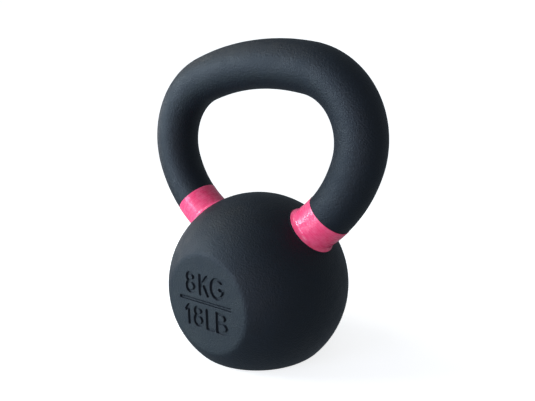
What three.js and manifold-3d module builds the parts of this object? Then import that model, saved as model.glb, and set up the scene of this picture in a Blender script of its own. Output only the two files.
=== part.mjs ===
// An 8 kg kettlebell: an iron ball with three flats, a loop handle that grows out of its shoulders
// on two horns, and a colour band round the root of each horn. Millimetres, +Z up, the handle's loop
// in the XZ plane, the marked face towards -Y and the origin at the middle of the flat base.
import * as THREE from "three";
import { mergeVertices } from "three/addons/utils/BufferGeometryUtils.js";
import Module from "manifold-3d";

const wasm = await Module();
wasm.setup();

// ---- Driving dimensions ----

const BALL_RADIUS = 61.2;
const BALL_CENTRE_Z = 43; // the base is cut off this far below the ball's centre
const FACE_DISTANCE = 52.8; // the front and back flats, each this far from the ball's centre

const GRIP_RADIUS = 15.25;
const GRIP_TOP = 143.7; // the top of the handle's centreline above the ball's centre
// The right half of the centreline, from the top: arcs that run on from each other, sweep in degrees.
const HANDLE_ARCS = [
  { radius: 155, sweep: 15.7, steps: 3 }, // the arched grip
  { radius: 44.8, sweep: 91.4, steps: 12 }, // the corner
  { radius: 74.5, sweep: 60, steps: 8 }, // the horn, which curves in to the ball
];

const ROOT_FILLET = 3; // the horn spreads by this much where it meets the ball
const PIECE_GAP = 0.3; // between any two pieces that touch
const BAND_DEPTH = 0.8; // the groove under a band, which the band and its gap fill
const BAND_FOOT = 1.1; // the height of a band's lower edge above the ball
const RIGHT_BAND_TOP = 148.5; // the band's upper edge, measured along the centreline from the top
const LEFT_BAND_TOP = 147;

const MARK_DEPTH = 1.3;
const MARK_WIDTH = 1.9;
const CAP_HEIGHT = 11.6; // of the figures, from the middle of one stroke to the middle of another

const SIDES = 36; // round the handle and the bands
const RING_SPACE = 3; // the least there is between a band's upper edge and the next ring of the handle
const BALL_SIDES = 56;
const MARK_SEGMENTS = 7;

// ---- Solids ----

// A three.js geometry as a manifold-3d solid.
function solidOf(geometry) {
  const shape = geometry.clone();
  shape.deleteAttribute("normal");
  shape.deleteAttribute("uv");
  const merged = mergeVertices(shape, 1e-4);
  return new wasm.Manifold(
    new wasm.Mesh({
      numProp: 3,
      vertProperties: merged.attributes.position.array,
      triVerts: new Uint32Array(merged.index.array),
    }),
  );
}

// A manifold-3d solid as a three.js geometry.
function geometryOf(solid) {
  const mesh = solid.getMesh();
  const geometry = new THREE.BufferGeometry();
  geometry.setAttribute("position", new THREE.BufferAttribute(mesh.vertProperties, 3));
  geometry.setIndex(new THREE.BufferAttribute(mesh.triVerts, 1));
  geometry.computeVertexNormals();
  return geometry;
}

// A skin over rings of points, each ring the same number of points in the same order. A skin that
// isn't looped is closed at each end by a fan to the point given for that end.
function skin(rings, ends) {
  const points = rings.flat();
  const index = [];
  const joins = ends ? rings.length - 1 : rings.length;
  for (let i = 0; i < joins; i++) {
    const here = i * SIDES;
    const next = ((i + 1) % rings.length) * SIDES;
    for (let j = 0; j < SIDES; j++) {
      const k = (j + 1) % SIDES;
      index.push(here + j, next + k, next + j, here + j, here + k, next + k);
    }
  }
  if (ends) {
    const last = (rings.length - 1) * SIDES;
    points.push(...ends);
    for (let j = 0; j < SIDES; j++) {
      const k = (j + 1) % SIDES;
      index.push(points.length - 2, k, j);
      index.push(points.length - 1, last + j, last + k);
    }
  }
  const geometry = new THREE.BufferGeometry().setFromPoints(points);
  geometry.setIndex(index);
  geometry.computeVertexNormals();
  return geometry;
}

// ---- The handle's centreline and the skin round it ----

// The centreline at a distance along it from the top, on the right side: the point, and the direction
// away from the bend's centre. The ball's centre is the origin here.
function centreline(distance) {
  const at = new THREE.Vector2(0, GRIP_TOP);
  let heading = 0; // 0 along +X, turning down
  let left = distance;
  for (const arc of HANDLE_ARCS) {
    const turn = Math.min(left / arc.radius, THREE.MathUtils.degToRad(arc.sweep));
    const outward = new THREE.Vector2(Math.sin(heading), Math.cos(heading));
    at.addScaledVector(outward, -arc.radius);
    heading += turn;
    outward.set(Math.sin(heading), Math.cos(heading));
    at.addScaledVector(outward, arc.radius);
    left -= turn * arc.radius;
    if (left < 1e-9) return { at, outward };
  }
  throw new Error("the centreline ends before " + distance);
}

// A point at an angle round the centreline and a radius from it.
function aroundCentreline(distance, angle, radius) {
  const { at, outward } = centreline(distance);
  const out = radius * Math.cos(angle);
  return new THREE.Vector3(at.x + out * outward.x, radius * Math.sin(angle), at.y + out * outward.y);
}

const ANGLES = Array.from({ length: SIDES }, (_, j) => (j / SIDES) * 2 * Math.PI);
const [GRIP_LENGTH, CORNER_LENGTH, HORN_LENGTH] = HANDLE_ARCS.map(
  (arc) => arc.radius * THREE.MathUtils.degToRad(arc.sweep),
);

// How far along the centreline the point at this angle and radius comes down to a height above the ball.
function distanceAtHeight(height, angle, radius) {
  let above = GRIP_LENGTH + CORNER_LENGTH;
  let below = above + HORN_LENGTH;
  for (let i = 0; i < 40; i++) {
    const middle = (above + below) / 2;
    const reached = aroundCentreline(middle, angle, radius).length() - BALL_RADIUS;
    if (reached > height) above = middle;
    else below = middle;
  }
  return above;
}

const flatRing = (distance, radius) => ANGLES.map((a) => aroundCentreline(distance, a, radius));

// The fillet at the root: how far the horn has spread at a height above the ball.
function spread(height) {
  if (height >= ROOT_FILLET) return 0;
  return ROOT_FILLET - Math.sqrt(ROOT_FILLET ** 2 - (ROOT_FILLET - height) ** 2);
}

// A ring that follows the ball's surface at a height above it.
function footRing(height, radius) {
  return ANGLES.map((a) => aroundCentreline(distanceAtHeight(height, a, radius), a, radius));
}

// Rings from a height on the fillet up to a band's upper edge, all set in from the horn's skin by the
// same depth.
function bandRings(foot, top, inset) {
  const radius = GRIP_RADIUS - inset;
  const rings = [foot, (foot + ROOT_FILLET) / 2, ROOT_FILLET].map((height) =>
    footRing(height, radius + spread(height)),
  );
  const starts = ANGLES.map((a) => distanceAtHeight(ROOT_FILLET, a, radius));
  for (const share of [0.35, 0.7, 1]) {
    rings.push(
      ANGLES.map((a, j) => aroundCentreline(THREE.MathUtils.lerp(starts[j], top, share), a, radius)),
    );
  }
  return rings;
}

const mirrored = (ring) => ring.map((p) => new THREE.Vector3(-p.x, p.y, p.z));

// ---- The pieces ----

// One side of the handle from its foot on the ball up to the top of the loop, with the groove for its band.
function handleSide(bandTop) {
  const shoulder = BAND_FOOT - PIECE_GAP;
  const core = [0.35, 0.7].map((share) => footRing(PIECE_GAP, GRIP_RADIUS * share));
  const toe = [PIECE_GAP, shoulder].map((height) => footRing(height, GRIP_RADIUS + spread(height)));
  const groove = bandRings(shoulder, bandTop - PIECE_GAP, BAND_DEPTH);
  const stations = [0];
  [GRIP_LENGTH, CORNER_LENGTH, HORN_LENGTH].forEach((length, n) => {
    const start = stations.at(-1);
    const { steps } = HANDLE_ARCS[n];
    for (let i = 1; i <= steps; i++) stations.push(start + (length * i) / steps);
  });
  const open = stations.filter((s) => s < bandTop - RING_SPACE).reverse();
  const grip = [bandTop - PIECE_GAP, ...open].map((s) => flatRing(s, GRIP_RADIUS));
  return [...core, ...toe, ...groove, ...grip];
}

function handle() {
  const right = handleSide(RIGHT_BAND_TOP);
  const left = handleSide(LEFT_BAND_TOP).map(mirrored);
  left.pop(); // both sides hold the ring at the top of the loop
  const foot = aroundCentreline(distanceAtHeight(PIECE_GAP, 0, 0), 0, 0);
  return skin([...right, ...left.reverse()], [foot, mirrored([foot])[0]]);
}

// A thin sleeve in the groove, flush with the grip, that spreads with the fillet at its foot.
function band(top, side) {
  const outer = bandRings(BAND_FOOT, top, 0);
  const inner = bandRings(BAND_FOOT, top, BAND_DEPTH - PIECE_GAP);
  const loop = [...outer, ...inner.reverse()];
  return skin(side > 0 ? loop : loop.map(mirrored).reverse());
}

// A straight groove with round ends, from one point of the marked face to another.
function lineStroke(x0, z0, x1, z1, width = MARK_WIDTH) {
  const along = Math.atan2(z1 - z0, x1 - x0);
  const shape = new THREE.Shape();
  shape.absarc(x1, z1, width / 2, along - Math.PI / 2, along + Math.PI / 2);
  shape.absarc(x0, z0, width / 2, along + Math.PI / 2, along + 1.5 * Math.PI);
  shape.closePath();
  return shape;
}

// A groove along an elliptical arc, in degrees anticlockwise, with round ends unless it goes right round.
function arcStroke(x, z, radiusX, radiusZ, from, to) {
  const half = MARK_WIDTH / 2;
  const shape = new THREE.Shape();
  if (to - from >= 360) {
    shape.absellipse(x, z, radiusX + half, radiusZ + half, 0, 2 * Math.PI);
    const middle = new THREE.Path();
    middle.absellipse(x, z, radiusX - half, radiusZ - half, 0, 2 * Math.PI, true);
    shape.holes.push(middle);
    return shape;
  }
  const [a, b] = [from, to].map(THREE.MathUtils.degToRad);
  const end = (angle, turn) =>
    shape.absarc(x + radiusX * Math.cos(angle), z + radiusZ * Math.sin(angle), half, turn, turn + Math.PI);
  shape.absellipse(x, z, radiusX + half, radiusZ + half, a, b);
  end(b, b);
  shape.absellipse(x, z, radiusX - half, radiusZ - half, b, a, true);
  end(a, a + Math.PI);
  return shape;
}

// The figures, each placed by the left end of its base line.
const FIGURES = {
  1: (x, z) => [
    lineStroke(x + 2.3, z, x + 2.3, z + CAP_HEIGHT),
    lineStroke(x, z + 8.6, x + 2.3, z + CAP_HEIGHT),
  ],
  8: (x, z) => [
    arcStroke(x + 3.6, z + 3.3, 3.6, 3.3, 0, 360),
    arcStroke(x + 3.6, z + 9.1, 3.1, 2.5, 0, 360),
  ],
  K: (x, z) => [
    lineStroke(x, z, x, z + CAP_HEIGHT),
    lineStroke(x + 0.4, z + 5, x + 5.9, z + CAP_HEIGHT),
    lineStroke(x + 2.4, z + 7.4, x + 6.2, z),
  ],
  G: (x, z) => [
    arcStroke(x + 5.1, z + CAP_HEIGHT / 2, 5.1, CAP_HEIGHT / 2, 48, 358),
    lineStroke(x + 7, z + CAP_HEIGHT / 2 - 0.3, x + 10.2, z + CAP_HEIGHT / 2 - 0.3),
  ],
  L: (x, z) => [lineStroke(x, z, x, z + CAP_HEIGHT), lineStroke(x, z, x + 5.6, z)],
  B: (x, z) => [
    lineStroke(x, z, x, z + CAP_HEIGHT),
    lineStroke(x, z, x + 4.4, z),
    lineStroke(x, z + 6.2, x + 4.4, z + 6.2),
    lineStroke(x, z + CAP_HEIGHT, x + 3.8, z + CAP_HEIGHT),
    arcStroke(x + 4.4, z + 3.1, 3.3, 3.1, -90, 90),
    arcStroke(x + 3.8, z + 8.9, 2.8, 2.7, -90, 90),
  ],
};
const UPPER_LINE = { base: 6.1, figures: [["8", -15.6], ["K", -4], ["G", 4.9]] };
const LOWER_LINE = { base: -14.8, figures: [["1", -16.8], ["8", -10], ["L", 0.9], ["B", 9]] };
const RULE = { z: 1.3, from: -21, to: 20, width: 2.1 };

// The mass in kilograms over the mass in pounds, with a rule between them, as solids that cut the face.
function markCutters() {
  const shapes = [lineStroke(RULE.from, RULE.z, RULE.to, RULE.z, RULE.width)];
  for (const line of [UPPER_LINE, LOWER_LINE]) {
    for (const [figure, x] of line.figures) shapes.push(...FIGURES[figure](x, line.base));
  }
  return shapes.map((shape) => {
    const settings = { depth: MARK_DEPTH + 1, bevelEnabled: false, curveSegments: MARK_SEGMENTS };
    const cutter = new THREE.ExtrudeGeometry(shape, settings);
    cutter.rotateX(Math.PI / 2);
    cutter.translate(0, MARK_DEPTH - FACE_DISTANCE, 0);
    return solidOf(cutter);
  });
}

// The ball: turned about Z with its flat base, then cut flat at the front and back and marked on the front.
function ball() {
  const lowest = Math.asin(-BALL_CENTRE_Z / BALL_RADIUS);
  const arcSteps = BALL_SIDES / 2;
  const profile = [new THREE.Vector2(0, -BALL_CENTRE_Z)];
  for (let i = 0; i < arcSteps; i++) {
    const latitude = THREE.MathUtils.lerp(lowest, Math.PI / 2, i / arcSteps);
    profile.push(
      new THREE.Vector2(BALL_RADIUS * Math.cos(latitude), BALL_RADIUS * Math.sin(latitude)),
    );
  }
  profile.push(new THREE.Vector2(0, BALL_RADIUS));
  let solid = solidOf(new THREE.LatheGeometry(profile, BALL_SIDES).rotateX(Math.PI / 2));
  const waste = BALL_RADIUS; // more than the slice that each flat takes off
  for (const side of [-1, 1]) {
    const cut = new THREE.BoxGeometry(2.2 * BALL_RADIUS, waste, 2.2 * BALL_RADIUS);
    cut.translate(0, side * (FACE_DISTANCE + waste / 2), 0);
    solid = solid.subtract(solidOf(cut));
  }
  for (const cutter of markCutters()) solid = solid.subtract(cutter);
  return geometryOf(solid);
}

// ---- The kettlebell ----

const powderCoat = new THREE.MeshStandardMaterial({ color: 0x23282e, roughness: 0.6, metalness: 0 });
const bandEnamel = new THREE.MeshStandardMaterial({ color: 0xe0527f, roughness: 0.35, metalness: 0 });

const kettlebell = new THREE.Group();
function add(name, geometry, material) {
  const mesh = new THREE.Mesh(geometry, material);
  mesh.name = name;
  mesh.position.z = BALL_CENTRE_Z; // every shape is made about the ball's centre
  kettlebell.add(mesh);
}

add("ball", ball(), powderCoat);
add("handle", handle(), powderCoat);
add("right_band", band(RIGHT_BAND_TOP, 1), bandEnamel);
add("left_band", band(LEFT_BAND_TOP, -1), bandEnamel);

export default kettlebell;
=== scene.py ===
"""The finish of an 8 kg cast-iron kettlebell, laid out as an add-on and run as a script.

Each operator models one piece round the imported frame, in metres, +Z up. The ball is pressed to shape
about its centre, the handle is a bar spun round three arcs on each side, and each band is a film of
enamel over the root of a horn. Lengths are given in millimetres times MM."""

import math

import bmesh
import bpy
import numpy as np
from mathutils import Matrix, Vector, noise


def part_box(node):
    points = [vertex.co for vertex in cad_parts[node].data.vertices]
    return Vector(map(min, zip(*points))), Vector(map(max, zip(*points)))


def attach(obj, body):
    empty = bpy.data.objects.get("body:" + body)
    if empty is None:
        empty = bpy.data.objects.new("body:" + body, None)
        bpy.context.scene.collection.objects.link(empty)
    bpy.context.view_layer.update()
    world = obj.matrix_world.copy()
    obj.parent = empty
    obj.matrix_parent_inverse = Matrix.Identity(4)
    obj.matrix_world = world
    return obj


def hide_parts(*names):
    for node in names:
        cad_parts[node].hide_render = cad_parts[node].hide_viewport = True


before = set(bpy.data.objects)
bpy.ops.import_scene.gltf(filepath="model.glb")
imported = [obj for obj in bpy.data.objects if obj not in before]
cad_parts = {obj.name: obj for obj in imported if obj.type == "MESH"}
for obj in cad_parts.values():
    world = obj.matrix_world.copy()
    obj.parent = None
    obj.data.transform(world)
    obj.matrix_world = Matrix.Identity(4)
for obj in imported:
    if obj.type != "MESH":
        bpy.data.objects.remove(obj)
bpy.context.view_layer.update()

bl_info = {
    "name": "Cast-Iron Kettlebell",
    "version": (1, 0, 0),
    "blender": (4, 5, 0),
    "location": "3D View > Sidebar > Kettlebell",
    "description": "Models an 8 kg kettlebell with a powder coat and two enamel bands",
    "category": "Mesh",
}

MM = 0.001
BALL_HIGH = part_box("ball")[1]
HANDLE_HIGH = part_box("handle")[1]


def linear(colour):
    """An sRGB colour, written as 0xRRGGBB, as the linear RGBA that nodes and lights take."""
    shares = [(colour >> shift & 255) / 255 for shift in (16, 8, 0)]
    curve = [s / 12.92 if s <= 0.04045 else ((s + 0.055) / 1.055) ** 2.4 for s in shares]
    return (*curve, 1.0)


def length(name, description, default, **limits):
    """A length in metres that a user can change."""
    return bpy.props.FloatProperty(
        name=name, description=description, default=default, unit="LENGTH", subtype="DISTANCE", **limits
    )


def angle(name, description, degrees):
    """An angle that a user can change."""
    return bpy.props.FloatProperty(
        name=name,
        description=description,
        default=math.radians(degrees),
        unit="ROTATION",
        subtype="ANGLE",
    )


def colour(name, description, default):
    """A colour that a user can change."""
    return bpy.props.FloatVectorProperty(
        name=name, description=description, default=linear(default), size=4, min=0, max=1, subtype="COLOR"
    )


# ---- Sizes and colours ----


class KettlebellBall(bpy.types.PropertyGroup):
    """Sizes of the ball and of the mass sunk into its front."""

    radius: length("Radius", "Radius of the ball", 61.2 * MM)
    front_edge: length("Front Edge", "Rounding between the ball and its front and back flats", 7 * MM)
    base_edge: length("Base Edge", "Rounding between the ball and its base", 4 * MM)
    groove_width: length("Groove Width", "Width of the strokes of the figures", 1.9 * MM)
    groove_depth: length("Groove Depth", "How deep the figures are sunk", 1.3 * MM)
    cap_height: length("Cap Height", "Height of a figure between the middles of its strokes", 11.6 * MM)


class KettlebellHandle(bpy.types.PropertyGroup):
    """Sizes of the handle. Its centreline is three arcs on each side that run on from each other."""

    grip_radius: length("Grip Radius", "Radius of the bar", 15.25 * MM)
    arch_radius: length("Arch Radius", "Radius of the arched grip's centreline", 155 * MM)
    arch_sweep: angle("Arch Sweep", "How far the grip's arc turns on each side", 15.7)
    corner_radius: length("Corner Radius", "Radius of the corner's centreline", 44.8 * MM)
    corner_sweep: angle("Corner Sweep", "How far the corner turns", 91.4)
    horn_radius: length("Horn Radius", "Radius of the horn's centreline", 74.5 * MM)
    horn_sweep: angle("Horn Sweep", "The most that the horn can turn before it meets the ball", 60)
    root_fillet: length("Root Fillet", "Rounding between a horn and the ball", 3 * MM)
    slimming: length("Slimming", "How much thinner the bar is between its corners", 0.25 * MM)


class KettlebellBands(bpy.types.PropertyGroup):
    """Sizes of the bands."""

    film: length("Film", "How far the enamel stands proud of the powder coat", 0.22 * MM)
    right_top: length("Right Top", "Right upper edge, along the centreline from the top", 148.5 * MM)
    left_top: length("Left Top", "Left upper edge, along the centreline from the top", 147 * MM)
    foot: length("Foot", "Height of the lower edge above the ball", 0.4 * MM)


class KettlebellFinish(bpy.types.PropertyGroup):
    """Colours of the finishes."""

    coat_dark: colour("Coat Dark", "Powder coat where it is darkest", 0x040C14)
    coat_light: colour("Coat Light", "Powder coat where it is lightest", 0x07121C)
    enamel_deep: colour("Enamel Deep", "Band enamel where it lies thick", 0xF8416E)
    enamel_thin: colour("Enamel Thin", "Band enamel where it lies thin", 0xFF6084)


class KettlebellStage(bpy.types.PropertyGroup):
    """The camera's place, the lights and the floor."""

    azimuth: angle("Azimuth", "How far round to the right of the marked face the camera stands", 37.92)
    elevation: angle("Elevation", "How far up the camera stands, seen from its target", 8.83)
    distance: length("Distance", "From the target to the camera", 298.45 * MM)
    target: length("Target", "Height of the target above the ball's centre", 60 * MM)
    pan: angle("Pan", "How far the camera then turns to its right", 1.33)
    tilt: angle("Tilt", "How far the camera then turns up", -0.82)
    roll: angle("Roll", "How far the camera then rolls anticlockwise", -1.27)
    lens: bpy.props.FloatProperty(
        name="Lens", description="Focal length in millimetres on a 36 mm wide sensor", default=29.93
    )
    floor: colour("Floor", "The floor, the cove round it and the dome", 0xD6D2CE)


# ---- Modelling ----


def add_primitive(name, operator, **settings):
    """Adds a primitive with nothing else selected, and leaves it in edit mode with all of it selected."""
    if bpy.context.mode != "OBJECT":
        bpy.ops.object.mode_set(mode="OBJECT")
    bpy.ops.object.select_all(action="DESELECT")
    operator(**settings)
    piece = bpy.context.object
    piece.name = piece.data.name = name
    bpy.ops.object.mode_set(mode="EDIT")
    bpy.ops.mesh.select_mode(type="VERT")
    bpy.ops.mesh.select_all(action="SELECT")
    return piece


def select_faces(piece, wanted):
    """In edit mode, selects the faces whose middles, as rows of an array, pass a test."""
    bpy.ops.mesh.select_all(action="DESELECT")
    bpy.ops.mesh.select_mode(type="FACE")
    mesh = bmesh.from_edit_mesh(piece.data)
    middles = np.array([face.calc_center_median() for face in mesh.faces])
    for face, passes in zip(mesh.faces, wanted(middles)):
        face.select_set(bool(passes))
    bmesh.update_edit_mesh(piece.data)


def move_points(piece, moved):
    """In object mode, moves each vertex to the place that moved gives for its place and its normal."""
    places = [moved(vertex.co.copy(), vertex.normal.copy()) for vertex in piece.data.vertices]
    for vertex, place in zip(piece.data.vertices, places):
        vertex.co = place
    piece.data.update()


def apply_modifier(piece, kind, **settings):
    """Adds a modifier to a piece in object mode and applies it."""
    bpy.ops.object.modifier_add(type=kind)
    modifier = piece.modifiers[-1]
    for name, value in settings.items():
        setattr(modifier, name, value)
    bpy.ops.object.modifier_apply(modifier=modifier.name)


def place_in_mesh(piece):
    """Leaves the object at the origin, with its place in its mesh."""
    bpy.ops.object.select_all(action="DESELECT")
    piece.select_set(True)
    bpy.context.view_layer.objects.active = piece
    bpy.ops.object.transform_apply(location=True, rotation=True, scale=True)


def finish_piece(piece, node, material):
    """Smooth shading, the finish, and the CAD node that the piece stands for."""
    bpy.ops.object.shade_smooth()
    piece.data.materials.clear()
    piece.data.materials.append(material)
    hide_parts(node)
    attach(piece, "root")


# The skin of a sand casting is never quite true. Two sizes of swelling, each as the space between its
# swells and how far they rise, show as slight unevenness in the sheen.
SWELLS = ((16 * MM, 0.10 * MM), (5 * MM, 0.025 * MM))


def cast_skin(place, normal):
    """A place on the true surface, let in by as much as the casting's skin falls short of it there."""
    short = sum(rise * (0.5 + 0.5 * noise.noise(place / space)) for space, rise in SWELLS)
    return place - normal * short


# ---- The ball ----

BALL_CELLS = 64  # along each side of the cube that the ball is pressed from
OUTER = 0.8  # whatever lies further out than this share of the way to a flat belongs to that flat
EDGE_REACH = 3 * MM  # on each side of a flat's edge, where the cells are cut finer
EDGE_CUTS = 2
STROKE_REACH = 1.2  # widths of a stroke from its middle, where the cells are cut finest
STROKE_CUTS = 8


def ball_centre(sizes):
    """The middle of the ball, which its flats are cut into."""
    return Vector((0, 0, BALL_HIGH.z - sizes.radius))


def pressed_reach(direction, sizes):
    """How far the iron reaches from the ball's centre: to the ball or a flat, or the rounding between."""
    flat_y, base = BALL_HIGH.y, ball_centre(sizes).z
    reach = sizes.radius
    for across, height, edge in (
        (abs(direction.y), flat_y, sizes.front_edge),
        (-direction.z, base, sizes.base_edge),
    ):
        rise = height - edge  # of the rounding's own centre, out from the ball's centre
        centre_reach = sizes.radius - edge
        side = math.sqrt(centre_reach**2 - rise**2)
        if across <= rise / centre_reach:
            continue  # this direction clears the rounding and the flat
        sine = math.sqrt(1 - min(across, 1) ** 2)
        flat = height / across
        if flat * sine > side:
            along = side * sine + rise * across
            flat = along + math.sqrt(along**2 - centre_reach**2 + edge**2)
        reach = min(reach, flat)
    return reach


def line(x0, z0, x1, z1):
    """A straight stroke."""
    return [(x0, z0), (x1, z1)]


def arc(x, z, radius_x, radius_z, start=0, end=360):
    """A stroke along an ellipse, anticlockwise in degrees, as points some 8 degrees apart."""
    steps = max(2, round((end - start) / 8))
    turns = [math.radians(start + (end - start) * i / steps) for i in range(steps + 1)]
    return [(x + radius_x * math.cos(t), z + radius_z * math.sin(t)) for t in turns]


CAP = 11.6  # the cap height that the figures below are drawn at, in millimetres
# The strokes of each figure in millimetres, from the left end of its base line.
FIGURES = {
    "1": [line(2.3, 0, 2.3, CAP), line(0, 8.6, 2.3, CAP)],
    "8": [arc(3.6, 3.3, 3.25, 3.3), arc(3.6, 9.1, 2.8, 2.5)],
    "K": [line(0, 0, 0, CAP), line(0.4, 5, 5.9, CAP), line(2.4, 7.4, 6.2, 0)],
    "G": [arc(5.1, CAP / 2, 4.9, CAP / 2, 48, 358), line(7, CAP / 2 - 0.3, 10, CAP / 2 - 0.3)],
    "L": [line(0, 0, 0, CAP), line(0, 0, 5.6, 0)],
    "B": [
        line(0, 0, 0, CAP),
        line(0, 0, 4.4, 0),
        line(0, 6.2, 4.4, 6.2),
        line(0, CAP, 3.8, CAP),
        arc(4.4, 3.1, 3.3, 3.1, -90, 90),
        arc(3.8, 8.9, 2.8, 2.7, -90, 90),
    ],
}
# Each line of the mark: the height of its base line above the ball's centre, and where its figures start.
MARK_LINES = (
    (6.1, (("8", -15.6), ("K", -4), ("G", 4.9))),
    (-14.8, (("1", -16.8), ("8", -10), ("L", 0.9), ("B", 9))),
)
# The rule between the lines starts in a round pit and runs on as two thin lines, cut close together.
RULE_PIT = line(-21, 1.3, -20.6, 1.3)
RULE_LINES = (line(-21, 2.05, 20, 2.05), line(-21, 0.55, 20, 0.55))
RULE_THINNER = 0.6  # how much less than a figure's stroke one of them spreads to each side


def mark_segments(scale):
    """Every straight piece of the mark's strokes as a row (x0, z0, x1, z1, thinner), in metres."""
    strokes = [(RULE_PIT, 0)] + [(rule, RULE_THINNER) for rule in RULE_LINES]
    for base, figures in MARK_LINES:
        for figure, left in figures:
            for stroke in FIGURES[figure]:
                strokes.append(([(left + x, base + z) for x, z in stroke], 0))
    rows = [(*a, *b, thinner) for stroke, thinner in strokes for a, b in zip(stroke, stroke[1:])]
    return np.array(rows) * scale


def distance_to_mark(points, segments):
    """How far each point of the marked face is from the middle of the nearest stroke. A thinner stroke
    counts as further off, so that one width serves them all."""
    nearest = np.full(len(points), np.inf)
    for x0, z0, x1, z1, thinner in segments:
        start, along = np.array((x0, z0)), np.array((x1 - x0, z1 - z0))
        share = np.clip((points - start) @ along / (along @ along), 0, 1)
        gap = points - start - share[:, None] * along
        nearest = np.minimum(nearest, np.hypot(*gap.T) + thinner)
    return nearest


LIP = 0.12  # how far a stroke's rounded lip spreads out, as a share of its half width
FOOT = 0.16  # how far its rounded foot reaches in, as a share of its half width


def groove_share(distance, width):
    """How deep a groove is at a distance from its middle, as a share of its depth."""
    outer, inner = width / 2 * (1 + LIP), width / 2 * (1 - FOOT)
    down = np.clip((outer - distance) / (outer - inner), 0, 1)
    return down * down * (3 - 2 * down)


def sink_mark(piece, sizes, segments):
    """Sinks the mass into the front flat."""
    places = np.array([vertex.co for vertex in piece.data.vertices]) - np.array(ball_centre(sizes))
    facing = np.nonzero(places[:, 1] < -OUTER * BALL_HIGH.y)[0]
    distance = distance_to_mark(places[facing][:, (0, 2)], segments)
    for index, share in zip(facing, groove_share(distance, sizes.groove_width)):
        piece.data.vertices[int(index)].co.y += float(share) * sizes.groove_depth
    piece.data.update()


class KETTLEBELL_OT_ball(bpy.types.Operator):
    """Presses a cube into the ball with its three flats, and sinks the mass into the front one"""

    bl_idname = "kettlebell.ball"
    bl_label = "Cast the Ball"

    def execute(self, context):
        sizes = context.scene.kettlebell_ball
        centre = ball_centre(sizes)

        def press(place, normal):
            direction = (place - centre).normalized()
            return centre + direction * pressed_reach(direction, sizes)

        flat_edge = math.sqrt(sizes.radius**2 - BALL_HIGH.y**2)
        base_edge = math.sqrt(sizes.radius**2 - centre.z**2)
        segments = mark_segments(sizes.cap_height / CAP)

        def near_an_edge(middles):
            x, y, z = (middles - np.array(centre)).T
            by_face = (abs(np.hypot(x, z) - flat_edge) < EDGE_REACH) & (abs(y) > OUTER * BALL_HIGH.y)
            by_base = (abs(np.hypot(x, y) - base_edge) < EDGE_REACH) & (z < -OUTER * centre.z)
            return by_face | by_base

        def near_a_stroke(middles):
            x, y, z = (middles - np.array(centre)).T
            on_flat = (y < -OUTER * BALL_HIGH.y) & (np.hypot(x, z) < flat_edge)
            distance = distance_to_mark(np.column_stack((x, z)), segments)
            return on_flat & (distance < STROKE_REACH * sizes.groove_width)

        piece = add_primitive(
            "iron_ball",
            bpy.ops.mesh.primitive_cube_add,
            size=sizes.radius,
            location=centre,
        )
        bpy.ops.mesh.subdivide(number_cuts=BALL_CELLS - 1)
        bpy.ops.object.mode_set(mode="OBJECT")
        place_in_mesh(piece)
        move_points(piece, press)
        for wanted, cuts in ((near_an_edge, EDGE_CUTS), (near_a_stroke, STROKE_CUTS)):
            bpy.ops.object.mode_set(mode="EDIT")
            select_faces(piece, wanted)
            bpy.ops.mesh.subdivide(number_cuts=cuts)
            bpy.ops.object.mode_set(mode="OBJECT")
        move_points(piece, press)
        move_points(piece, cast_skin)
        sink_mark(piece, sizes, segments)
        finish_piece(piece, "ball", powder_coated_iron(context.scene.kettlebell_finish))
        return {"FINISHED"}


# ---- The handle and the bands ----

BAR_SIDES = 72
RING_SPACE = 1.5 * MM  # between the rings of the handle
FILLET_STEPS = 10
ROOT_CLEAR = 1.6 * MM  # the bar's sweep ends this far above the root's fillet
HANDLE_FOOT = 0.02 * MM  # how far above the ball the handle's lowest ring lies
UNDERLAP = 0.1 * MM  # how far a band reaches in under the powder coat
BAND_ROUNDING = 0.08 * MM  # of a band's edges


class Bend:
    """One arc of the handle's centreline, in the XZ plane: its centre, its radius and the headings that
    it turns between. A heading is 0 along +X and turns downwards."""

    def __init__(self, start, heading, radius, sweep):
        self.radius, self.heading, self.sweep = radius, heading, sweep
        self.centre = start - self.outward(0) * radius

    def outward(self, turn):
        return Vector((math.sin(self.heading + turn), 0, math.cos(self.heading + turn)))

    def point(self, turn):
        return self.centre + self.outward(turn) * self.radius


def handle_bends(sizes):
    """The arch, the corner and the horn of the right side, from the top of the handle."""
    start, heading, bends = Vector((0, 0, HANDLE_HIGH.z - sizes.grip_radius)), 0, []
    for radius, sweep in (
        (sizes.arch_radius, sizes.arch_sweep),
        (sizes.corner_radius, sizes.corner_sweep),
        (sizes.horn_radius, sizes.horn_sweep),
    ):
        bends.append(Bend(start, heading, radius, sweep))
        start, heading = bends[-1].point(sweep), heading + sweep
    return bends


def spin_round(bend, turn):
    """Sweeps the selected ring downwards round a bend's centre."""
    steps = max(1, round(bend.radius * turn / RING_SPACE))
    bpy.ops.mesh.spin(steps=steps, angle=turn, center=bend.centre, axis=(0, -1, 0))


def horn_turn(horn, centre, reach):
    """How far round the horn its centreline comes down to a distance from the ball's centre."""
    low, high = 0, horn.sweep
    for _ in range(40):  # halvings, which leave less than a rounding error
        middle = (low + high) / 2
        if (horn.point(middle) - centre).length > reach:
            low = middle
        else:
            high = middle
    return low


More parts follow.
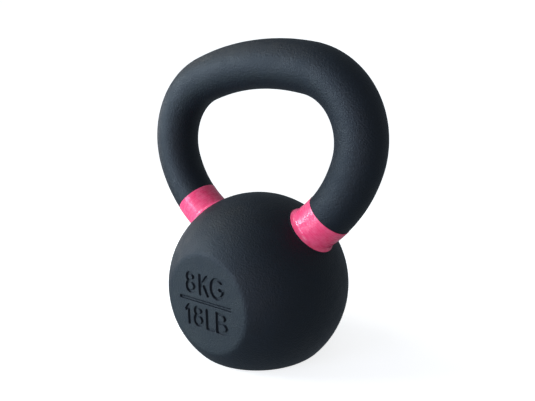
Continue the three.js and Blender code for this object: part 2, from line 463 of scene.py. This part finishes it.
def seat_ring(piece, bend, turn, sizes, ball, height):
    """Extrudes the selected ring down to a height above the ball, spread as the root's fillet spreads."""
    bpy.ops.mesh.extrude_region_move()
    fillet, centre = sizes.root_fillet, ball_centre(ball)
    spread = 0 if height >= fillet else fillet - math.sqrt(fillet**2 - (fillet - height) ** 2)
    axis_point, down = bend.point(turn), bend.outward(turn + math.pi / 2)
    mesh = bmesh.from_edit_mesh(piece.data)
    for vertex in mesh.verts:
        if vertex.select:
            from_axis = vertex.co - axis_point
            side = (from_axis - down * from_axis.dot(down)).normalized()
            start = axis_point + side * (sizes.grip_radius + spread) - centre
            reach = ball.radius + height
            along = start.dot(down)
            back = along + math.sqrt(along**2 - start.length_squared + reach**2)
            vertex.co = centre + start - down * back
    bmesh.update_edit_mesh(piece.data)


def sweep_bar(piece, bends, first_turn, sizes, ball, lowest):
    """From a ring across the centreline, sweeps the bar down to the ball's root and along its fillet."""
    for bend in bends[:-1]:
        spin_round(bend, bend.sweep)
    horn, centre = bends[-1], ball_centre(ball)
    last_turn = horn_turn(horn, centre, ball.radius + sizes.root_fillet + ROOT_CLEAR)
    spin_round(horn, last_turn - first_turn)
    for i in range(FILLET_STEPS + 1):
        turn = math.pi / 2 * i / FILLET_STEPS
        height = sizes.root_fillet * (1 - math.sin(turn))
        if height < lowest:
            break
        seat_ring(piece, horn, last_turn, sizes, ball, height)
    seat_ring(piece, horn, last_turn, sizes, ball, lowest)


def slim(place, normal, sizes, corner):
    """Thins the bar away from its corners."""
    away = (Vector((abs(place.x), 0, place.z)) - corner).length / (2 * sizes.corner_radius)
    return place - normal * sizes.slimming * min(away, 1) ** 2


class KETTLEBELL_OT_handle(bpy.types.Operator):
    """Sweeps the handle's bar from the top of its loop down to the ball, and mirrors it"""

    bl_idname = "kettlebell.handle"
    bl_label = "Cast the Handle"

    def execute(self, context):
        sizes, ball = context.scene.kettlebell_handle, context.scene.kettlebell_ball
        bends = handle_bends(sizes)
        piece = add_primitive(
            "iron_handle",
            bpy.ops.mesh.primitive_circle_add,
            vertices=BAR_SIDES,
            radius=sizes.grip_radius,
            location=bends[0].point(0),
            rotation=(0, math.pi / 2, 0),
        )
        bpy.ops.object.mode_set(mode="OBJECT")
        place_in_mesh(piece)
        bpy.ops.object.mode_set(mode="EDIT")
        sweep_bar(piece, bends, 0, sizes, ball, HANDLE_FOOT)
        bpy.ops.mesh.edge_face_add()
        bpy.ops.object.mode_set(mode="OBJECT")
        apply_modifier(piece, "MIRROR", use_axis=(True, False, False), merge_threshold=1e-5)
        bpy.ops.object.mode_set(mode="EDIT")
        bpy.ops.mesh.select_all(action="SELECT")
        bpy.ops.mesh.normals_make_consistent(inside=False)
        bpy.ops.object.mode_set(mode="OBJECT")
        corner = bends[1].point(sizes.corner_sweep / 2)
        move_points(piece, lambda place, normal: slim(place, normal, sizes, corner))
        move_points(piece, cast_skin)
        finish_piece(piece, "handle", powder_coated_iron(context.scene.kettlebell_finish))
        return {"FINISHED"}


def enamel_band(name, side, top, sizes, bar, ball):
    """A film over the right horn's root, down to the end of its fillet, mirrored for the left one."""
    bends = handle_bends(bar)
    horn = bends[-1]
    before = sum(bend.radius * bend.sweep for bend in bends[:-1])
    turn = (top - before) / horn.radius
    piece = add_primitive(
        name,
        bpy.ops.mesh.primitive_circle_add,
        vertices=BAR_SIDES,
        radius=bar.grip_radius,
        location=horn.point(turn),
        rotation=(0, math.pi / 2 + horn.heading + turn, 0),
    )
    bpy.ops.object.mode_set(mode="OBJECT")
    place_in_mesh(piece)
    bpy.ops.object.mode_set(mode="EDIT")
    sweep_bar(piece, [horn], turn, bar, ball, sizes.foot)
    if side < 0:
        bpy.ops.mesh.select_all(action="SELECT")
        bpy.ops.transform.resize(value=(-1, 1, 1), center_override=(0, 0, 0))
    bpy.ops.mesh.select_all(action="SELECT")
    bpy.ops.mesh.normals_make_consistent(inside=False)
    bpy.ops.object.mode_set(mode="OBJECT")
    corner = bends[1].point(bar.corner_sweep / 2)
    move_points(piece, lambda place, normal: slim(place, normal, bar, corner))
    move_points(piece, cast_skin)
    thickness = sizes.film + UNDERLAP
    apply_modifier(piece, "SOLIDIFY", thickness=thickness, offset=2 * sizes.film / thickness - 1)
    apply_modifier(
        piece,
        "BEVEL",
        width=BAND_ROUNDING,
        segments=3,
        limit_method="ANGLE",
        angle_limit=math.radians(50),
    )
    return piece


class KETTLEBELL_OT_bands(bpy.types.Operator):
    """Lays a band of enamel round the root of each horn"""

    bl_idname = "kettlebell.bands"
    bl_label = "Paint the Bands"

    def execute(self, context):
        scene = context.scene
        sizes, bar, ball = scene.kettlebell_bands, scene.kettlebell_handle, scene.kettlebell_ball
        for side, word, top in ((1, "right", sizes.right_top), (-1, "left", sizes.left_top)):
            piece = enamel_band(f"{word}_enamel_band", side, top, sizes, bar, ball)
            material = band_enamel(scene.kettlebell_finish, word, side, handle_bends(bar)[-1])
            finish_piece(piece, f"{word}_band", material)
        return {"FINISHED"}


# ---- Finishes ----


def add_node(tree, kind, sockets=None, **settings):
    """Adds a node with its settings, and fills its inputs with values or with links from other nodes."""
    new = tree.nodes.new(kind)
    for name, value in settings.items():
        setattr(new, name, value)
    for name, value in (sockets or {}).items():
        if isinstance(value, bpy.types.NodeSocket):
            tree.links.new(value, new.inputs[name])
        else:
            new.inputs[name].default_value = value
    return new


def new_material(name):
    """An empty node material and the tree that it is drawn in."""
    material = bpy.data.materials.new(name)
    material.use_nodes = True
    material.node_tree.nodes.clear()
    return material, material.node_tree


def per_metre(size):
    """The scale at which a pattern repeats about once in a size."""
    return 1 / size


def powder_coated_iron(finish):
    """Powder coat on cast iron: polyester powder, sprayed on dry and baked. It is matte and near black
    with a blue cast, and its skin keeps a fine grain over the slow unevenness of the sand casting."""
    found = bpy.data.materials.get("powder_coated_iron")
    if found:
        return found
    material, tree = new_material("powder_coated_iron")
    place = add_node(tree, "ShaderNodeTexCoord").outputs["Object"]
    # Baked powder is a little thicker in some places than in others, over about 9 mm.
    cloud = add_node(
        tree,
        "ShaderNodeTexNoise",
        {"Vector": place, "Scale": per_metre(9 * MM), "Detail": 3.0, "Roughness": 0.55},
    )
    # The grain of the coat is about 0.3 mm. It is drawn at 1 mm, because finer would not show.
    grain = add_node(
        tree,
        "ShaderNodeTexNoise",
        {"Vector": place, "Scale": per_metre(1.0 * MM), "Detail": 2.0, "Roughness": 0.6},
    )
    # The sand of the mould leaves soft pits some 3 mm apart under the coat.
    pits = add_node(
        tree,
        "ShaderNodeTexNoise",
        {"Vector": place, "Scale": per_metre(3.2 * MM), "Detail": 1.0, "Roughness": 0.5},
    )
    shade = add_node(
        tree,
        "ShaderNodeMath",
        {0: cloud.outputs["Fac"], 1: grain.outputs["Fac"]},
        operation="MULTIPLY",
    )
    spread = add_node(
        tree,
        "ShaderNodeMapRange",
        {"Value": shade.outputs[0], "From Min": 0.12, "From Max": 0.42, "To Min": 0.0, "To Max": 1.0},
    )
    tint = add_node(
        tree,
        "ShaderNodeMix",
        {0: spread.outputs[0], 6: finish.coat_dark, 7: finish.coat_light},
        data_type="RGBA",
    )
    sheen = add_node(
        tree,
        "ShaderNodeMapRange",
        {"Value": cloud.outputs["Fac"], "From Min": 0.3, "From Max": 0.7, "To Min": 0.52, "To Max": 0.62},
    )
    pitted = add_node(
        tree,
        "ShaderNodeBump",
        {"Height": pits.outputs["Fac"], "Strength": 1.0, "Distance": 0.05 * MM},
    )
    grained = add_node(
        tree,
        "ShaderNodeBump",
        {
            "Height": grain.outputs["Fac"],
            "Strength": 1.0,
            "Distance": 0.42 * MM,
            "Normal": pitted.outputs["Normal"],
        },
    )
    shader = add_node(
        tree,
        "ShaderNodeBsdfPrincipled",
        {
            "Base Color": tint.outputs[2],
            "Roughness": sheen.outputs[0],
            "Normal": grained.outputs["Normal"],
            "IOR": 1.5,
            "Specular IOR Level": 0.35,
        },
    )
    add_node(tree, "ShaderNodeOutputMaterial", {"Surface": shader.outputs[0]})
    return material


BAND_TURN = math.radians(30)  # how far the horn has turned by the middle of its band


def band_enamel(finish, word, side, horn):
    """Pink enamel brushed round the horn: glossy, uneven in depth, with the brush's fine ridges round the
    band and with dimples where it sagged as it dried, which break its highlights into glints."""
    material, tree = new_material(f"{word}_band_enamel")
    place = add_node(tree, "ShaderNodeTexCoord").outputs["Object"]
    # The pattern's own Z runs along the horn at the band. It is packed tighter that way, so that its
    # streaks run round the band.
    lean = side * (horn.heading + BAND_TURN - math.pi / 2)
    turned = add_node(
        tree,
        "ShaderNodeMapping",
        {"Vector": place, "Rotation": (0, lean, 0), "Scale": (1, 1, 1 / 8)},
        vector_type="TEXTURE",
    )
    # Brush ridges are about 0.7 mm apart and several millimetres long.
    ridges = add_node(
        tree,
        "ShaderNodeTexNoise",
        {"Vector": turned.outputs[0], "Scale": per_metre(5.6 * MM), "Detail": 1.5, "Roughness": 0.5},
    )
    # Where it sagged it dried in dimples about 2.4 mm apart.
    dimples = add_node(
        tree,
        "ShaderNodeTexNoise",
        {"Vector": place, "Scale": per_metre(2.4 * MM), "Detail": 1.0, "Roughness": 0.6},
    )
    # One coat covers unevenly, over about 3.6 mm.
    depth = add_node(
        tree,
        "ShaderNodeTexNoise",
        {"Vector": place, "Scale": per_metre(3.6 * MM), "Detail": 3.0, "Roughness": 0.6},
    )
    laid = add_node(
        tree,
        "ShaderNodeMapRange",
        {"Value": depth.outputs["Fac"], "From Min": 0.3, "From Max": 0.7, "To Min": 0.0, "To Max": 1.0},
    )
    tint = add_node(
        tree,
        "ShaderNodeMix",
        {0: laid.outputs[0], 6: finish.enamel_deep, 7: finish.enamel_thin},
        data_type="RGBA",
    )
    gloss = add_node(
        tree,
        "ShaderNodeMapRange",
        {"Value": ridges.outputs["Fac"], "From Min": 0.3, "From Max": 0.7, "To Min": 0.2, "To Max": 0.32},
    )
    dimpled = add_node(
        tree,
        "ShaderNodeBump",
        {"Height": dimples.outputs["Fac"], "Strength": 1.0, "Distance": 0.22 * MM},
    )
    ridged = add_node(
        tree,
        "ShaderNodeBump",
        {
            "Height": ridges.outputs["Fac"],
            "Strength": 1.0,
            "Distance": 0.06 * MM,
            "Normal": dimpled.outputs["Normal"],
        },
    )
    shader = add_node(
        tree,
        "ShaderNodeBsdfPrincipled",
        {
            "Base Color": tint.outputs[2],
            "Roughness": gloss.outputs[0],
            "Normal": ridged.outputs["Normal"],
            "IOR": 1.5,
            "Specular IOR Level": 0.4,
        },
    )
    add_node(tree, "ShaderNodeOutputMaterial", {"Surface": shader.outputs[0]})
    return material


def studio_paint(stage):
    """Matte emulsion, rolled on with a faint stipple, and lit up from all sides to nearly white."""
    material, tree = new_material("matte_studio_paint")
    place = add_node(tree, "ShaderNodeTexCoord").outputs["Object"]
    # A roller leaves bumps about 2 mm across.
    stipple = add_node(
        tree,
        "ShaderNodeTexNoise",
        {"Vector": place, "Scale": per_metre(2 * MM), "Detail": 1.0},
    )
    rolled = add_node(
        tree,
        "ShaderNodeBump",
        {"Height": stipple.outputs["Fac"], "Strength": 0.3, "Distance": 0.02 * MM},
    )
    shader = add_node(
        tree,
        "ShaderNodeBsdfPrincipled",
        {
            "Base Color": stage.floor,
            "Roughness": 0.9,
            "Normal": rolled.outputs["Normal"],
            "Emission Color": linear(0xFFFFFF),
            "Emission Strength": 0.78,
        },
    )
    add_node(tree, "ShaderNodeOutputMaterial", {"Surface": shader.outputs[0]})
    return material


# ---- The stage ----

FLOOR_RADIUS = 0.9
COVE_RADIUS = 0.5
DOME_RADIUS = FLOOR_RADIUS + COVE_RADIUS
ARC_STEPS = 16  # in the cove, and again in the dome
FLOOR_SIDES = 96


def add_floor(stage):
    """A round floor that turns up in a cove all round and closes overhead in a dome. Only the camera sees
    it, so the object is lit by the softboxes and the room alone, and the floor keeps its soft shadow."""
    turns = [math.pi / 2 * i / ARC_STEPS for i in range(1, ARC_STEPS + 1)]
    cove = [(FLOOR_RADIUS + COVE_RADIUS * math.sin(t), COVE_RADIUS * (1 - math.cos(t))) for t in turns]
    dome = [(DOME_RADIUS * math.cos(t), COVE_RADIUS + DOME_RADIUS * math.sin(t)) for t in turns[:-1]]
    piece = add_primitive(
        "studio_floor",
        bpy.ops.mesh.primitive_circle_add,
        vertices=FLOOR_SIDES,
        radius=FLOOR_RADIUS,
        fill_type="NGON",
    )
    bpy.ops.mesh.select_mode(type="EDGE")
    bpy.ops.mesh.region_to_loop()
    last_reach, last_height = FLOOR_RADIUS, 0
    for reach, height in cove + dome:
        bpy.ops.mesh.extrude_region_move(TRANSFORM_OT_translate={"value": (0, 0, height - last_height)})
        grown = reach / last_reach
        bpy.ops.transform.resize(value=(grown, grown, 1), center_override=(0, 0, 0))
        last_reach, last_height = reach, height
    bpy.ops.mesh.edge_face_add()
    bpy.ops.object.mode_set(mode="OBJECT")
    bpy.ops.object.shade_smooth()
    piece.data.materials.append(studio_paint(stage))
    piece.visible_diffuse = piece.visible_glossy = piece.visible_shadow = False


ROOM_COLOUR = 0xE0F0FF
ROOM_STRENGTH = 0.33
SOFTBOX_SIZE = 0.32
SOFTBOX_DISTANCE = 0.9
# Each softbox: its azimuth to the right of the marked face and its elevation, in degrees, its power in
# watts and its colour.
SOFTBOXES = {
    "key_light": (-53, 20, 7.2, 0xD9EFFF),
    "front_light": (-24, 2, 3.8, 0xCBDCFF),
    "top_light": (-80, 50, 1.6, 0xFFFFF8),
    "side_light": (-95, 5, 0.8, 0xFFF8F6),
    "right_light": (20, 0, 1.9, 0xF0F0FF),
    "table_bounce": (-40, -25, 2.4, 0xDCFAFF),
}


def around(azimuth, elevation):
    """The unit vector at an azimuth to the right of the marked face and an elevation, in radians."""
    level = math.cos(elevation)
    return Vector((math.sin(azimuth) * level, -math.cos(azimuth) * level, math.sin(elevation)))


def add_softbox(name, azimuth, elevation, power, tint):
    """A square area light round the object, turned to face its middle and hidden from the camera."""
    out = around(math.radians(azimuth), math.radians(elevation))
    middle = Vector((0, 0, HANDLE_HIGH.z / 2))
    bpy.ops.object.light_add(
        type="AREA",
        location=middle + out * SOFTBOX_DISTANCE,
        rotation=out.to_track_quat("Z", "Y").to_euler(),
    )
    lamp = bpy.context.object
    lamp.name = name
    lamp.data.size = SOFTBOX_SIZE
    lamp.data.energy = power
    lamp.data.color = linear(tint)[:3]
    lamp.visible_camera = False


def add_room():
    """The even, cool light of the room round the object."""
    room = bpy.data.worlds.new("pale_room")
    room.use_nodes = True
    background = room.node_tree.nodes["Background"]
    background.inputs["Color"].default_value = linear(ROOM_COLOUR)
    background.inputs["Strength"].default_value = ROOM_STRENGTH
    bpy.context.scene.world = room


def add_camera(stage, ball):
    """The camera, which looks at its target and then turns a little by pan, tilt and roll."""
    back = around(stage.azimuth, stage.elevation)
    target = ball_centre(ball) + Vector((0, 0, stage.target))
    facing = back.to_track_quat("Z", "Y").to_matrix()
    for turn, axis in ((-stage.pan, "Y"), (stage.tilt, "X"), (stage.roll, "Z")):
        facing = facing @ Matrix.Rotation(turn, 3, axis)
    bpy.ops.object.camera_add(location=target + back * stage.distance, rotation=facing.to_euler())
    camera = bpy.context.object
    camera.data.sensor_width = 36
    camera.data.lens = stage.lens
    camera.data.clip_start = 0.01
    bpy.context.scene.camera = camera


class KETTLEBELL_OT_stage(bpy.types.Operator):
    """Adds the floor, the lights and the camera"""

    bl_idname = "kettlebell.stage"
    bl_label = "Set the Stage"

    def execute(self, context):
        stage, ball = context.scene.kettlebell_stage, context.scene.kettlebell_ball
        add_floor(stage)
        for name, settings in SOFTBOXES.items():
            add_softbox(name, *settings)
        add_room()
        context.scene.view_settings.view_transform = "Standard"
        add_camera(stage, ball)
        return {"FINISHED"}


# ---- The sidebar ----


class KETTLEBELL_PT_sidebar(bpy.types.Panel):
    """Every operator of the kettlebell, each with the sizes and settings of its own step"""

    bl_idname = "KETTLEBELL_PT_sidebar"
    bl_label = "Kettlebell"
    bl_space_type = "VIEW_3D"
    bl_region_type = "UI"
    bl_category = "Kettlebell"

    def draw(self, context):
        for operator, group in STEPS:
            self.layout.operator(operator.bl_idname)
            box = self.layout.box()
            values = getattr(context.scene, group)
            for name in values.__annotations__:
                box.prop(values, name)


GROUPS = {
    "kettlebell_ball": KettlebellBall,
    "kettlebell_handle": KettlebellHandle,
    "kettlebell_bands": KettlebellBands,
    "kettlebell_finish": KettlebellFinish,
    "kettlebell_stage": KettlebellStage,
}
STEPS = (
    (KETTLEBELL_OT_ball, "kettlebell_ball"),
    (KETTLEBELL_OT_handle, "kettlebell_handle"),
    (KETTLEBELL_OT_bands, "kettlebell_bands"),
    (KETTLEBELL_OT_stage, "kettlebell_stage"),
)
CLASSES = (*GROUPS.values(), *(operator for operator, _ in STEPS), KETTLEBELL_PT_sidebar)


def register():
    for one in CLASSES:
        bpy.utils.register_class(one)
    for name, group in GROUPS.items():
        setattr(bpy.types.Scene, name, bpy.props.PointerProperty(type=group))


def unregister():
    for name in GROUPS:
        delattr(bpy.types.Scene, name)
    for one in reversed(CLASSES):
        bpy.utils.unregister_class(one)


def main():
    register()
    bpy.ops.kettlebell.ball()
    bpy.ops.kettlebell.handle()
    bpy.ops.kettlebell.bands()
    bpy.ops.kettlebell.stage()


if __name__ == "__main__":
    main()
